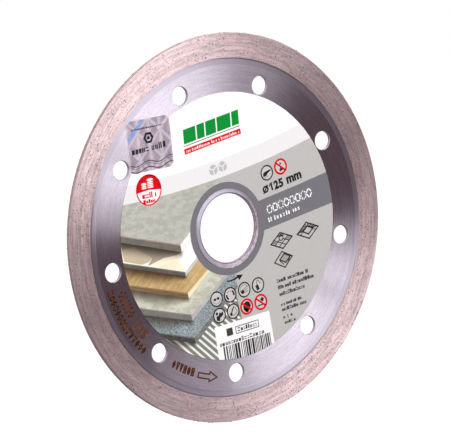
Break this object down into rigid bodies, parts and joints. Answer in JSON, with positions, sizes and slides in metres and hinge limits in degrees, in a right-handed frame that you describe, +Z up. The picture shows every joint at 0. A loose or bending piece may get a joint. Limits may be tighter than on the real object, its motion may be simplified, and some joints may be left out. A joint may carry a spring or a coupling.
{
  "type": "diamond blade",
  "caption": "Thin steel disc with a sintered diamond rim, round arbor bore, ring of cooling holes, printed face label and a small square seal; cuts tile and stone on an angle grinder",
  "frame": {"origin": "centre of the arbor bore, in the middle plane of the steel core", "axes": "the blade turns about Y; the labelled face looks towards -Y and +Z is up, as the label reads"},
  "size_m": [0.1252, 0.0018, 0.1252],
  "materials": {
    "ground_steel": "circularly ground",
    "bronze_bond": "ground sintered bond",
    "diamond": "facetted crystals",
    "printed_film": "satin print",
    "foil_seal": "metallised foil"
  },
  "bodies": {
    "root": {"steel_core": "ground_steel", "diamond_rim": "bronze_bond", "diamond_grit": "diamond", "face_label": "printed_film", "hologram_seal": "foil_seal"}
  },
  "joints": []
}
